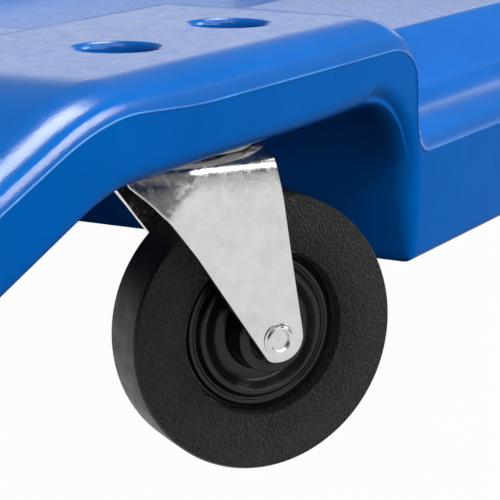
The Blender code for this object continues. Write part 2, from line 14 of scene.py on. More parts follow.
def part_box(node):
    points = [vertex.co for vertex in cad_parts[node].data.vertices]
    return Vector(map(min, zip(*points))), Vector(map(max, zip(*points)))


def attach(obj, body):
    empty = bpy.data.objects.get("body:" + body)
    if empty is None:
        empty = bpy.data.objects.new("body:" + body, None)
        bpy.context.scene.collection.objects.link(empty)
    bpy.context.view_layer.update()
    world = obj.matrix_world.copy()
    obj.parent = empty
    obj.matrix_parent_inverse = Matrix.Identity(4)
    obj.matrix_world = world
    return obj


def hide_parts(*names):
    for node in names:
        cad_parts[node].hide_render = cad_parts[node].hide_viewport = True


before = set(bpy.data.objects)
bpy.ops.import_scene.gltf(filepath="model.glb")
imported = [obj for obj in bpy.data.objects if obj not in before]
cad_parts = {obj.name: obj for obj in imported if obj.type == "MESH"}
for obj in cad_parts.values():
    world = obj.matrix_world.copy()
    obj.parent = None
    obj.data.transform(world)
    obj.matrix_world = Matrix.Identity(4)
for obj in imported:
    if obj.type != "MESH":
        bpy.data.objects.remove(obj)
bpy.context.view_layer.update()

MM = 0.001
PLACES = ("foot_right", "foot_left", "mid_right", "mid_left", "head_right", "head_left")


# --- places read from the frame ---

def centre(node):
    low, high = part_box(node)
    return (low + high) / 2


def swivel_axis(place):
    spot = centre(f"{place}_plate")
    return Vector((spot.x, spot.y, 0))


def trail_angle(place):
    """Direction from the swivel axis to the wheel, as an angle from +X."""
    offset = centre(f"{place}_tyre") - swivel_axis(place)
    return atan2(offset.y, offset.x)


DECK_LOW, DECK_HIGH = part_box("deck_shell")
FLASH = 0.22 * MM  # how far the parting line stands proud
HALF_LENGTH = DECK_HIGH.x - FLASH
HALF_WIDTH = DECK_HIGH.y - FLASH
PAD_TOP = DECK_HIGH.z
BED_UNDERSIDE = DECK_LOW.z
CORNER_X = -swivel_axis("foot_right").x
PLATE_LOW, PLATE_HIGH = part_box("foot_right_plate")
WHEEL_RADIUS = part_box("foot_right_tyre")[1].z / 2
TRAIL = (centre("foot_right_tyre") - swivel_axis("foot_right")).xy.length
BOLT_SPACING = (centre("foot_right_far_bolt") - centre("foot_right_near_bolt")).length

# Deck form: heights above the floor, then distances from the middle or from a swivel axis
BORDER_TOP = 86 * MM
BED_TOP = 62 * MM
LEDGE_TOP = 72 * MM
SLAB = 17.8 * MM
RIM_RADIUS = 10.6 * MM
RIM_DROP = 7.2 * MM
RIM_RISE = 1.7 * MM  # the parting line climbs at the fold
CORNER_RADIUS = 45 * MM
PAD_INNER_EDGE = (164 * MM, 178 * MM)
LEDGE_WALL = (205 * MM, 217 * MM)
BED_SIDE = (115 * MM, 145 * MM)
BED_END = (222 * MM, 268 * MM)
TOP_FOLD = (404 * MM, 430 * MM)
UNDER_FOLD = (403 * MM, 421 * MM)
RIM_RISE_SPAN = (378 * MM, 412 * MM)
LIP = (480 * MM, 496 * MM)
SLOPE = tan(radians(19.5))
TRAY_X = (100 * MM, 250 * MM)
TRAY_Y = (152 * MM, 200 * MM)
TRAY_FLOOR = 64 * MM
PAD_ROUND = (47 * MM, 61.2 * MM)
PAD_WALL = (61.2 * MM, 61.9 * MM)
PAD_FILLET = (61.9 * MM, 69 * MM)
PAD_ROUND_SHARE = 0.34
PAD_FILLET_SHARE = 0.25
WELL_HALF = 59.3 * MM
WELL_FILLET = 23 * MM
WELL_DRAFT = 0.6 * MM
WELL_FOOT = 1.2 * MM
MID_WELL_INNER = 150 * MM
SLAB_LIP = 1.5 * MM  # how far the slab hangs lower along its edge
SLAB_LIP_SPAN = (7 * MM, 14 * MM)
EDGE_ROUND = 2.4 * MM  # lower edge of the deck
CEILING_ROUND = 1.6 * MM  # extra rounding of the edge over a well
SIDE_BAND = 20 * MM  # how far in from the side a well's opening is rounded
ARCH_ROUND = 1.2 * MM  # extra rounding where the well opens to the side
CUP_RADIUS = 8.5 * MM
CUP_FLARE = 1.6 * MM
CUP_FLOOR = 86.6 * MM


# --- camera ---

SENSOR, LENS = 36, 144  # millimetres
CAMERA_PLACE = Vector((-365.6, -219.4, 152.2)) * MM  # from the foot's right swivel axis
HEADING = radians(28.82)
PITCH = radians(13.35)


def make_camera():
    """Low beside the foot end, looking at the corner caster along the deck's side."""
    data = bpy.data.cameras.new("camera")
    camera = new_object("camera", data)
    data.sensor_width = SENSOR
    data.lens = LENS
    data.clip_start = 0.01
    camera.location = swivel_axis("foot_right") + CAMERA_PLACE
    look = Vector((cos(HEADING) * cos(PITCH), sin(HEADING) * cos(PITCH),
                   -sin(PITCH)))
    camera.rotation_euler = look.to_track_quat("-Z", "Y").to_euler()
    bpy.context.scene.camera = camera


# --- mesh helpers ---

def new_object(name, data, materials=()):
    made = bpy.data.objects.new(name, data)
    bpy.context.scene.collection.objects.link(made)
    for material in materials:
        if material.name not in data.materials:
            data.materials.append(material)
    return made


def modify(piece, kind, **settings):
    modifier = piece.modifiers.new(kind.lower(), kind)
    for name, value in settings.items():
        setattr(modifier, name, value)


def shaded(mesh, sharp_angle=35):
    """Smooth, with edges steeper than the angle left sharp."""
    mesh.shade_smooth()
    mesh.set_sharp_from_angle(angle=radians(sharp_angle))
    return mesh


def mesh_of(name, points, faces, sharp_angle=40):
    mesh = bpy.data.meshes.new(name)
    mesh.from_pydata(np.asarray(points).tolist(), [], faces)
    mesh.validate()
    return shaded(mesh, sharp_angle)


def taken(bm, name):
    """A new mesh from a bmesh, which is freed."""
    mesh = bpy.data.meshes.new(name)
    bm.to_mesh(mesh)
    bm.free()
    return mesh


def ring_faces(count, length, closed):
    """Faces from each row of points to the next, and from the last row to the first."""
    faces = []
    for i in range(count):
        j = (i + 1) % count
        for k in range(length if closed else length - 1):
            after = (k + 1) % length
            faces.append((i * length + k, j * length + k,
                          j * length + after, i * length + after))
    return faces


def turned(profile, count, closed=False):
    """Points and faces of a (radius, height) profile turned around Z."""
    angles = np.arange(count) * 2 * pi / count
    profile = np.array(profile)
    rings = np.stack([np.outer(np.cos(angles), profile[:, 0]),
                      np.outer(np.sin(angles), profile[:, 0]),
                      np.tile(profile[:, 1], (count, 1))], axis=-1)
    return rings.reshape(-1, 3), ring_faces(count, len(profile), closed)


def turned_mesh(name, profile, count=64, closed=False, sharp_angle=35):
    mesh = mesh_of(name, *turned(profile, count, closed))
    bm = bmesh.new()
    bm.from_mesh(mesh)
    bmesh.ops.remove_doubles(bm, verts=bm.verts, dist=1e-7)
    bmesh.ops.recalc_face_normals(bm, faces=bm.faces)
    bm.to_mesh(mesh)
    bm.free()
    return shaded(mesh, sharp_angle)


def circle_points(x, radius, start, end, count):
    """An arc about (x, 0) between two angles in degrees."""
    turns = [radians(start + (end - start) * k / count) for k in range(count + 1)]
    return [(x + radius * cos(turn), radius * sin(turn)) for turn in turns]


def rounded_profile(corners, segments=4):
    """A polyline in metres, from corners (x, y, radius) in millimetres."""
    points = []
    for i, (x, y, radius) in enumerate(corners):
        here = Vector((x, y))
        if radius == 0 or i in (0, len(corners) - 1):
            points.append((x * MM, y * MM))
            continue
        before = (Vector(corners[i - 1][:2]) - here).normalized()
        after = (Vector(corners[i + 1][:2]) - here).normalized()
        half = before.angle(after) / 2
        reach = radius / tan(half)
        start, end = here + before * reach, here + after * reach
        middle = here + (before + after).normalized() * radius / sin(half)
        sweep = (start - middle).angle(end - middle)
        for step in range(segments + 1):
            share = step / segments
            arm = ((start - middle) * sin((1 - share) * sweep)
                   + (end - middle) * sin(share * sweep)) / sin(sweep)
            points.append(tuple((middle + arm) * MM))
    return points


def applied(piece):
    """The piece's mesh with its modifiers applied; the piece itself is removed."""
    bpy.context.view_layer.update()
    evaluated = piece.evaluated_get(bpy.context.evaluated_depsgraph_get())
    mesh = bpy.data.meshes.new_from_object(evaluated)
    mesh.name = piece.name
    bpy.data.objects.remove(piece, do_unlink=True)
    return mesh


# --- materials ---

def new_material(name, roughness, metallic=0.0, specular=0.5):
    material = bpy.data.materials.new(name)
    material.use_nodes = True
    shader = material.node_tree.nodes["Principled BSDF"]
    shader.inputs["Roughness"].default_value = roughness
    shader.inputs["Metallic"].default_value = metallic
    shader.inputs["Specular IOR Level"].default_value = specular
    return material, material.node_tree, shader


def add_node(tree, kind, **settings):
    node = tree.nodes.new(kind)
    for name, value in settings.items():
        if name in node.inputs:
            node.inputs[name].default_value = value
        else:
            setattr(node, name, value)
    return node


def noise(tree, scale, detail=2.0, distortion=0.0):
    place = add_node(tree, "ShaderNodeTexCoord")
    texture = add_node(tree, "ShaderNodeTexNoise", Scale=scale, Detail=detail,
                       Distortion=distortion)
    tree.links.new(place.outputs["Object"], texture.inputs["Vector"])
    return texture.outputs["Fac"]


def spread(tree, value, low, high, to_low, to_high):
    node = add_node(tree, "ShaderNodeMapRange", **{"From Min": low, "From Max": high,
                                                   "To Min": to_low, "To Max": to_high})
    tree.links.new(value, node.inputs["Value"])
    return node.outputs["Result"]


def blend_colours(tree, share, first, second):
    node = add_node(tree, "ShaderNodeMix", data_type="RGBA")
    colours = [socket for socket in node.inputs if socket.type == "RGBA"]
    colours[0].default_value = (*first, 1)
    colours[1].default_value = (*second, 1)
    tree.links.new(share, node.inputs["Factor"])
    return next(socket for socket in node.outputs if socket.type == "RGBA")


def colour_by(tree, shader, share, first, second):
    tree.links.new(blend_colours(tree, share, first, second), shader.inputs["Base Color"])


def roughness_by(tree, shader, value, low, high):
    tree.links.new(spread(tree, value, 0.3, 0.7, low, high), shader.inputs["Roughness"])


def bumps(tree, shader, layers):
    """Chains bump nodes: each layer is (height, distance in metres, strength)."""
    normal = None
    for height, distance, strength in layers:
        bump = add_node(tree, "ShaderNodeBump", Distance=distance, Strength=strength)
        tree.links.new(height, bump.inputs["Height"])
        if normal:
            tree.links.new(normal, bump.inputs["Normal"])
        normal = bump.outputs["Normal"]
    tree.links.new(normal, shader.inputs["Normal"])


def mottled(name, roughness, specular, colour, gloss, layers, metallic=0.0):
    """A material varied by noises, each given as its scale, detail and distortion.

    colour is (noise, its low, its high, first, second), gloss is (noise, low, high) and
    each layer of bumps is (noise, distance in metres, strength).
    """
    material, tree, shader = new_material(name, roughness, metallic, specular)
    source, low, high, first, second = colour
    colour_by(tree, shader, spread(tree, noise(tree, *source), low, high, 0, 1), first, second)
    roughness_by(tree, shader, noise(tree, *gloss[0]), *gloss[1:])
    bumps(tree, shader, [(noise(tree, *layer[0]), *layer[1:]) for layer in layers])
    return material


def make_plastic(name, colour, paler, roughness, specular, grain):
    """Blow-moulded polyethylene with a fine grain and gentle waves."""
    return mottled(name, roughness, specular, ((45, 3), 0.35, 0.65, colour, paler),
                   ((320, 3), roughness - 0.03, roughness + 0.04),
                   [((40, 1), 0.0010, 0.08), ((1600, 3), 0.0003, grain)])


def make_rubber(name, pebbles_and_light):
    """Hard black rubber; pebbles is 1 for a fully pebbled face and near 0 for a smooth one."""
    # The grey grows paler with the pebbling and also as painted light: the lit face is painted
    # paler, the tread, which sits in shade, darker.
    paler = 0.008 + 0.014 * pebbles_and_light
    return mottled(name, 0.5, 0.3, ((1400, 3), 0.42, 0.68, (0.005,) * 3, (paler,) * 3),
                   ((260, 2), 0.36, 0.5), [((1900, 2), 0.0012, pebbles_and_light)])


def make_nylon():
    """Smooth black moulded nylon with flow waves."""
    return mottled("core_nylon", 0.27, 0.35, ((90, 2), 0, 1, (0.006, 0.006, 0.007), (0.012,) * 3),
                   ((300, 3), 0.22, 0.34),
                   [((160, 2), 0.0005, 0.15), ((1800, 2), 0.0001, 0.3)])


def make_metal(name, colour, duller, roughness, scuff):
    """Plated sheet steel: cloudy plating, fine scuffs and small dents."""
    return mottled(name, roughness, 0.5, ((210, 4, 0.8), 0.3, 0.7, colour, duller),
                   ((420, 4, 1.5), roughness - 0.08, roughness + 0.14),
                   [((70, 2), 0.0010, 0.22 * scuff), ((1100, 3, 2.0), 0.0002, 0.3 * scuff)],
                   metallic=1.0)


def make_plywood():
    """Plies along the edge and a long grain on the faces."""
    material, tree, shader = new_material("board_plywood", 0.7, specular=0.3)
    place = add_node(tree, "ShaderNodeTexCoord")
    stretch = add_node(tree, "ShaderNodeMapping")
    stretch.inputs["Scale"].default_value = (1, 0.08, 7)
    tree.links.new(place.outputs["Object"], stretch.inputs["Vector"])
    grain = add_node(tree, "ShaderNodeTexNoise", Scale=260.0, Detail=4.0)
    tree.links.new(stretch.outputs["Vector"], grain.inputs["Vector"])
    share = spread(tree, grain.outputs["Fac"], 0.3, 0.7, 0, 1)
    colour_by(tree, shader, share, (0.5, 0.33, 0.17), (0.3, 0.17, 0.075))
    bumps(tree, shader, [(grain.outputs["Fac"], 0.0003, 0.4)])
    return material


def make_vinyl():
    """Upholstery vinyl: pebbled grain over soft wrinkles, with painted shade in the grain's
    creases.
    """
    material, tree, shader = new_material("pad_vinyl", 0.42, specular=0.5)
    place = add_node(tree, "ShaderNodeTexCoord")
    cells = add_node(tree, "ShaderNodeTexVoronoi", Scale=720.0, Randomness=1.0)
    cells.feature = "DISTANCE_TO_EDGE"
    tree.links.new(place.outputs["Object"], cells.inputs["Vector"])
    creases_and_shade = spread(tree, cells.outputs["Distance"], 0.0, 0.22, 0, 1)
    # Painted shade: the colour darkens along the grain's creases.
    colour_by(tree, shader, creases_and_shade, (0.009, 0.009, 0.010), (0.021, 0.021, 0.022))
    roughness_by(tree, shader, noise(tree, 210, 3), 0.36, 0.5)
    bumps(tree, shader, [(noise(tree, 60, 3), 0.001, 0.25), (creases_and_shade, 0.0003, 0.55)])
    return material


def make_thread():
    material, tree, shader = new_material("seam_thread", 0.75, specular=0.3)
    colour_by(tree, shader, noise(tree, 2500, 2), (0.035, 0.035, 0.037), (0.075, 0.075, 0.08))
    bumps(tree, shader, [(noise(tree, 3000, 2), 0.0002, 0.6)])
    return material


grained_plastic = make_plastic("blue_grained", (0.0, 0.14, 0.56), (0.0, 0.155, 0.62),
                               0.17, 0.5, 0.13)
smooth_plastic = make_plastic("blue_smooth", (0.0, 0.13, 0.54), (0.0, 0.145, 0.59),
                              0.3, 0.01, 0.12)
# The flash bead's paler, greener blue is a painted highlight: it stands for the glints and the
# light through the thin flash along the parting line.
flash_painted_highlight = make_plastic("blue_flash", (0.0, 0.15, 0.62), (0.04, 0.36, 0.85),
                             0.4, 0.5, 0.6)
# Painted light on the tyre: the face's paler grey partly stands for light falling on it, the
# tread's near-black for shade.
rubber = make_rubber("tyre_rubber", 1.0)
tread = make_rubber("tread_rubber_painted_shade", 0.12)
nylon = make_nylon()
plating = make_metal("zinc_plating", (0.7, 0.7, 0.695), (0.62, 0.62, 0.615), 0.17, 0.3)
steel = make_metal("dull_steel", (0.42, 0.42, 0.42), (0.28, 0.28, 0.28), 0.38, 0.8)
wood = make_plywood()
vinyl = make_vinyl()
thread = make_thread()


# --- deck form ---

def ramp(value, span):
    return np.clip((value - span[0]) / (span[1] - span[0]), 0, 1)


def soft_ramp(value, span):
    share = ramp(value, span)
    return share * share * (3 - 2 * share)


def quarter_round(share):
    """0 where a rounding starts, 1 where it ends upright."""
    share = np.clip(share, 0, 1)
    return 1 - np.sqrt(1 - share * share)


def eased_run(value, span):
    """How far value is past a soft bend over the span."""
    start, end = span
    inside = np.clip(value - start, 0, end - start)
    return inside ** 2 / (2 * (end - start)) + np.maximum(value - end, 0)


def slope_drop(along, fold):
    return SLOPE * (eased_run(along, fold) - eased_run(along, LIP))


def well_offset(along):
    """Distance along the deck from the nearest swivel axis; negative past the corner's."""
    return np.where(along < CORNER_X / 2, along, CORNER_X - along)


def pad_share(along):
    """1 over a caster pad, 0 away from it, with rounded top and foot."""
    offset = well_offset(along)
    top = 1 - PAD_ROUND_SHARE * quarter_round(ramp(offset, PAD_ROUND))
    wall = (1 - PAD_ROUND_SHARE - PAD_FILLET_SHARE) * ramp(offset, PAD_WALL)
    foot = PAD_FILLET_SHARE * (1 - quarter_round(1 - ramp(offset, PAD_FILLET)))
    return top - wall - foot * (offset > PAD_FILLET[0])


def past_corner(x, y):
    """How far a point is past the start of a corner's rounding, along x and along y."""
    return (np.abs(x) - (HALF_LENGTH - CORNER_RADIUS),
            np.abs(y) - (HALF_WIDTH - CORNER_RADIUS))


def outline_inset(x, y):
    """Distance in from the deck's outline."""
    beyond_x, beyond_y = (np.maximum(0, over) for over in past_corner(x, y))
    both = (beyond_x > 0) & (beyond_y > 0)
    return CORNER_RADIUS - np.where(both, np.hypot(beyond_x, beyond_y),
                                    np.maximum(beyond_x, beyond_y))


def tray_share(x, y):
    """1 on a tool tray's floor, 0 outside the tray."""
    wall = 5 * MM
    along = soft_ramp(x, (TRAY_X[0], TRAY_X[0] + wall)) \
        * (1 - soft_ramp(x, (TRAY_X[1] - wall, TRAY_X[1])))
    across = np.abs(y)
    return along * soft_ramp(across, (TRAY_Y[0], TRAY_Y[0] + wall)) \
        * (1 - soft_ramp(across, (TRAY_Y[1] - wall, TRAY_Y[1])))


def deck_top(x, y):
    along, across = np.abs(x), np.abs(y)
    bed = (1 - soft_ramp(across, BED_SIDE)) * (1 - soft_ramp(along, BED_END))
    low = (BORDER_TOP - (BORDER_TOP - BED_TOP) * bed
           - (BORDER_TOP - LEDGE_TOP) * soft_ramp(across, LEDGE_WALL))
    low = low - (BORDER_TOP - TRAY_FLOOR) * tray_share(x, y)
    high = BORDER_TOP + (PAD_TOP - BORDER_TOP) * soft_ramp(across, PAD_INNER_EDGE)
    share = np.where((along < CORNER_X / 2) & (across < PAD_INNER_EDGE[0]), 0,
                     pad_share(along))
    rim_drop = RIM_DROP - RIM_RISE * soft_ramp(along, RIM_RISE_SPAN)
    rim = rim_drop * quarter_round(1 - outline_inset(x, y) / RIM_RADIUS)
    return low + (high - low) * share - slope_drop(along, TOP_FOLD) - rim


def well_share(offset):
    """1 under a pad, falling through the fillet and the well's end wall to 0."""
    height = PAD_TOP - SLAB - BED_UNDERSIDE
    fillet, foot = WELL_FILLET / height, WELL_FOOT / height
    crest = (WELL_HALF - WELL_FILLET, WELL_HALF)
    base = (WELL_HALF + WELL_DRAFT, WELL_HALF + WELL_DRAFT + WELL_FOOT)
    share = 1 - fillet * quarter_round(ramp(offset, crest))
    share = share - (1 - fillet - foot) * ramp(offset, (WELL_HALF, base[0]))
    return share - foot * (1 - quarter_round(1 - ramp(offset, base)))


def deck_underside(x, y):
    along, across = np.abs(x), np.abs(y)
    end_slab = (BORDER_TOP - SLAB - slope_drop(along, UNDER_FOLD)
                + (PAD_TOP - BORDER_TOP) * soft_ramp(across, PAD_INNER_EDGE))
    middle = along < CORNER_X / 2
    slab = np.where(middle, PAD_TOP - SLAB, end_slab)
    slab = slab - SLAB_LIP * (1 - soft_ramp(outline_inset(x, y), SLAB_LIP_SPAN))
    inner_wall = well_share(MID_WELL_INNER + WELL_HALF - across)
    share = well_share(well_offset(along)) * np.where(middle, inner_wall, 1)
    return BED_UNDERSIDE + (slab - BED_UNDERSIDE) * share


def rounded_corners(x, y):
    """Bends the corner squares of the grid into quarter discs."""
    over_x, over_y = past_corner(x, y)
    inside = (over_x > 0) & (over_y > 0)
    reach = np.maximum(over_x, over_y)
    small = np.minimum(over_x, over_y) / np.where(inside, reach, 1)
    angle = pi / 4 * np.where(over_x >= over_y, small, 2 - small)
    bent_x = np.copysign(HALF_LENGTH - CORNER_RADIUS + reach * np.cos(angle), x)
    bent_y = np.copysign(HALF_WIDTH - CORNER_RADIUS + reach * np.sin(angle), y)
    return np.where(inside, bent_x, x), np.where(inside, bent_y, y)


def spaced(*stretches):
    """Evenly spaced lines along each (start, end, spacing), every end left out."""
    lines = []
    for start, end, spacing in stretches:
        count = max(1, round((end - start) / spacing))
        lines += [start + (end - start) * i / count for i in range(count)]
    return lines


def mirrored(lines):
    positive = sorted({round(line, 4) for line in lines})
    return np.array([-line for line in reversed(positive) if line > 0] + positive) * MM


def deck_lines():
    """Grid lines that crowd together where the form bends, in millimetres until mirrored."""
    crest, base = WELL_HALF / MM, (WELL_HALF + WELL_DRAFT) / MM
    wall, foot = PAD_WALL[0] / MM, PAD_WALL[1] / MM
    corner, fold_end = CORNER_X / MM, TOP_FOLD[1] / MM
    well = spaced((0, 34, 6), (34, 58, 1.7), (58, crest, 0.45), (crest, base, 0.06),
                  (base, wall, 0.45), (wall, foot, 0.14), (foot, 70, 1.1), (70, 76, 1.5)) + [76]
    rim = [0, 0.7, 1.5, 2.4, 3.4, 4.7, 6.2, 8, 9.4, 10.6, 13, 18, 27, 36, 45]
    inner = spaced((76, 98, 7), (98, 106, 1), (106, 222, 10), (222, 267, 2.5))
    outer = spaced((corner, 401, 6), (401, fold_end, 1.8), (fold_end, 463, 5))
    along = (well + inner + [corner - offset for offset in well] + outer
             + [HALF_LENGTH / MM - inset for inset in rim] + spaced((480, 496, 2)))
    across = spaced((0, 112, 12), (112, 149, 2.5), (149, 149.5, 0.2), (149.4, 150, 0.06),
                    (150, 166, 1.3), (166, 179, 1.4), (179, 204, 2.5), (204, 218, 1.2),
                    (218, 229, 2.5))
    across += [HALF_WIDTH / MM - inset for inset in (*rim[:10], rim[-1])]
    return mirrored(along), mirrored(across)


def past_opening(offset, height):
    """Distance outside a wheel well's opening in the side plane, and its direction."""
    middle = WELL_HALF - WELL_FILLET
    crown = PAD_TOP - SLAB - WELL_FILLET
    draft = WELL_DRAFT * ramp(crown - height, (0, crown - BED_UNDERSIDE))
    past = np.maximum(offset - middle - draft, 0)
    above = np.maximum(height - crown, 0)
    reach = np.maximum(np.hypot(past, above), 1e-9)
    return reach - WELL_FILLET, past / reach, above / reach


def opening_radius(offset, height):
    """Radius of the lower edge's rounding, largest where a well's opening turns down."""
    along_ceiling = soft_ramp(offset, (10 * MM, WELL_HALF - WELL_FILLET))
    up_wall = ramp(height, (BED_UNDERSIDE, PAD_TOP - SLAB - WELL_FILLET))
    by_wall = 1 - ramp(offset, (WELL_HALF + 10 * MM, WELL_HALF + 14 * MM))
    return EDGE_ROUND + (CEILING_ROUND + ARCH_ROUND * along_ceiling) * up_wall * by_wall


def rounded(distance, radius):
    """Where a point this far from a right-angled edge lands on its rounding."""
    angle = (1 - np.clip(distance / radius, 0, 1)) * pi / 4
    inward = radius - radius * np.cos(angle)
    onward = np.where(distance < radius, radius - radius * np.sin(angle), distance)
    return inward, onward


def outline_normal(x, y):
    """Outward direction of the deck's outline."""
    over_x, over_y = past_corner(x, y)
    corner = (over_x > 0) & (over_y > 0)
    length = np.maximum(np.hypot(over_x, over_y), 1e-9)
    on_end = over_x > over_y
    normal_x = np.where(corner, over_x / length, np.where(on_end, 1, 0)) * np.sign(x)
    normal_y = np.where(corner, over_y / length, np.where(on_end, 0, 1)) * np.sign(y)
    return normal_x, normal_y


def round_deck_edges(points, above_edge, on_side):
    """Rounds the deck's lower outline and the openings of the wheel wells.

    above_edge is the height over the outline's lower edge, for points of the side wall.
    """
    x, y, z = points.T
    along = np.abs(x)
    inset = outline_inset(x, y)
    offset = well_offset(along)
    radius = opening_radius(offset, z)
    distance, toward_x, toward_z = past_opening(offset, z)
    distance = np.maximum(distance, 0)
    at_wall = (np.abs(y) > HALF_WIDTH - SIDE_BAND) & (offset > WELL_HALF - WELL_FILLET)
    at_wall &= (offset < PAD_FILLET[1]) & (on_side | (z > BED_UNDERSIDE + WELL_FOOT))
    wall_inward, wall_onward = rounded(np.where(on_side, distance, inset), radius)
    outward_shift = np.where(on_side, wall_onward - distance, wall_inward) * at_wall
    wall_shift = np.where(on_side, wall_inward, wall_onward - inset) * at_wall
    at_edge = ~at_wall | (on_side & (offset > WELL_HALF + WELL_DRAFT))
    edge_radius = np.where(at_wall | (z < BED_UNDERSIDE + WELL_FOOT), EDGE_ROUND, radius)
    edge_inward, edge_onward = rounded(np.where(on_side, above_edge, inset), edge_radius)
    upward_shift = np.where(on_side, edge_onward - above_edge, edge_inward) * at_edge
    edge_shift = np.where(on_side, edge_inward, edge_onward - inset) * at_edge
    inward_shift = np.maximum(wall_shift, edge_shift)
    normal_x, normal_y = outline_normal(x, y)
    sign = np.sign(x) * np.where(along < CORNER_X / 2, 1, -1)
    return np.stack([x + sign * toward_x * outward_shift - normal_x * inward_shift,
                     y - normal_y * inward_shift,
                     z + toward_z * outward_shift + upward_shift], axis=1)


def grid_ring(count_x, count_y):
    """Index pairs round the outline of a grid."""
    return ([(i, 0) for i in range(count_x - 1)]
            + [(count_x - 1, j) for j in range(count_y - 1)]
            + [(i, count_y - 1) for i in range(count_x - 1, 0, -1)]
            + [(0, j) for j in range(count_y - 1, 0, -1)])


def flash_bead(line, normals):
    """A thin raised line of flash along the mould's parting line."""
    section = [(0, 1), (1, 0.45), (1, -0.45), (0, -1)]
    points = []
    for point, normal in zip(line, normals):
        for out, up in section:
            points.append(point + normal * FLASH * out + np.array([0, 0, FLASH * up]))
    return points, ring_faces(len(line), len(section), closed=False)


GRAINED, SMOOTH, FLASHED = 0, 1, 2


def deck_surface():
    """Grained top, smooth side wall and underside as one closed mesh, with the flash line."""
    lines_x, lines_y = deck_lines()
    count_x, count_y = len(lines_x), len(lines_y)
    x, y = rounded_corners(*np.meshgrid(lines_x, lines_y, indexing="ij"))
    top = np.stack([x, y, deck_top(x, y)], axis=-1)
    low = np.stack([x, y, deck_underside(x, y)], axis=-1)
    ring = grid_ring(count_x, count_y)
    picks = tuple(np.array(ring).T)
    upper, lower = top[picks], low[picks]
    height = upper[:, 2] - lower[:, 2]
    near_edge = np.array([0.3, 0.7, 1.2, 1.8, 2.4, 3.3]) * MM
    shares = np.array([0.1, 0.2, 0.32, 0.44, 0.56, 0.68, 0.8, 0.9])
    rows = [np.full_like(height, level) for level in near_edge]
    rows += [near_edge[-1] + share * (height - near_edge[-1]) for share in shares]
    walls = []
    for row in rows:
        point = lower.copy()
        point[:, 2] += row
        walls.append(round_deck_edges(point, row, True))
    low_points = low.reshape(-1, 3)
    low_points = round_deck_edges(low_points, np.zeros(len(low_points)), False)
    points = np.concatenate([top.reshape(-1, 3), low_points, *walls])
    grid_count, ring_count = count_x * count_y, len(ring)
    top_index = [i * count_y + j for i, j in ring]
    levels = [[grid_count + index for index in top_index]]
    for row in range(len(rows)):
        first = 2 * grid_count + row * ring_count
        levels.append(list(range(first, first + ring_count)))
    levels.append(top_index)
    faces = []
    for i in range(count_x - 1):
        for j in range(count_y - 1):
            a, b = i * count_y + j, (i + 1) * count_y + j
            faces.append((a, b, b + 1, a + 1))
            faces.append((grid_count + a, grid_count + a + 1, grid_count + b + 1,
                          grid_count + b))
    for lower_level, upper_level in zip(levels, levels[1:]):
        for k in range(ring_count):
            after = (k + 1) % ring_count
            faces.append((lower_level[k], lower_level[after], upper_level[after],
                          upper_level[k]))
    finish = np.full(len(faces), SMOOTH)
    finish[0:2 * (count_x - 1) * (count_y - 1):2] = GRAINED
    normals = np.stack([*outline_normal(upper[:, 0], upper[:, 1]),
                        np.zeros(ring_count)], axis=1)
    bead_points, bead_faces = flash_bead(upper, normals)
    faces += [tuple(len(points) + index for index in face) for face in bead_faces]
    finish = np.concatenate([finish, np.full(len(bead_faces), FLASHED)])
    return np.concatenate([points, bead_points]), faces, finish


def cup_cutter():
    """Access cups over the bolts, each with a rounded rim."""
    steep = [radians(angle) for angle in (0, 15, 30, 45, 60, 75)]
    rim = [(CUP_RADIUS + CUP_FLARE * (1 - cos(angle)),
            PAD_TOP - CUP_FLARE * (1 - sin(angle))) for angle in steep]
    profile = [(0, CUP_FLOOR), (CUP_RADIUS - 0.8 * MM, CUP_FLOOR),
               (CUP_RADIUS - 0.2 * MM, CUP_FLOOR + 0.3 * MM),
               (CUP_RADIUS, CUP_FLOOR + 1 * MM), *rim,
               (rim[-1][0] + 0.8 * MM, PAD_TOP + 0.3 * MM), (0, PAD_TOP + 0.3 * MM)]
    bm = bmesh.new()
    for place in PLACES:
        for side in (-1, 1):
            mesh = turned_mesh("cup", profile, 48)
            spot = swivel_axis(place) + Vector((side * BOLT_SPACING / 2, 0, 0))
            mesh.transform(Matrix.Translation(spot))
            bm.from_mesh(mesh)
            bpy.data.meshes.remove(mesh)
    return new_object("cups", taken(bm, "cups"))


def make_deck():
    points, faces, finish = deck_surface()
    mesh = mesh_of("deck", points, faces, 50)
    mesh.polygons.foreach_set("material_index", finish.astype(np.int32))
    draft = new_object("deck_draft", mesh, [grained_plastic, smooth_plastic, flash_painted_highlight])
    cups = cup_cutter()
    cups.data.materials.append(grained_plastic)
    modify(draft, "BOOLEAN", object=cups, solver="EXACT")
    modify(draft, "WEIGHTED_NORMAL", keep_sharp=True)
    deck = new_object("deck_moulding", applied(draft))
    bpy.data.objects.remove(cups, do_unlink=True)
    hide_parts("deck_shell")
    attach(deck, "root")


# --- casters ---

SHEET = 2 * MM  # the fork's thickness
CROWN_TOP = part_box("foot_right_fork")[1].z
LEG_HALF = 13.3 * MM  # middle of the wheel to the outer face of a leg
BEND_RADIUS = 5 * MM
LEG_END_HALF = 5.8 * MM  # half the width of a leg's rounded end
LEG_END_DEPTH = 5.2 * MM  # how far that end reaches below the axle
# (height, place along the trail) up each edge of a leg, in millimetres
LEG_FRONT = [(25.7, 24.5), (32.5, 24.3), (49.5, 21.5), (63, 19.4), (70, 18), (80, 16)]
LEG_BACK = [(25.7, 17), (28.3, 15), (31.7, 12.7), (41.3, 6.2), (52, -1), (60, -7.1),
            (65, -11.6), (68, -14.8), (71, -16.6), (80, -16.8)]
# crease where the rear corner curls inwards, as (along the trail, height)
CURL_LINE = ((0.5, 72.0), (-9.0, 57.0))
CURL_SLOPE = 0.42
BALL_COUNT = 22
BALL_CIRCLE = 14.5 * MM  # radius of the ring that the balls sit on
BALL_RADIUS = 1.1 * MM
TREAD_EDGE = 31.4 * MM  # radius where the tyre's pebbled face gives way to its tread


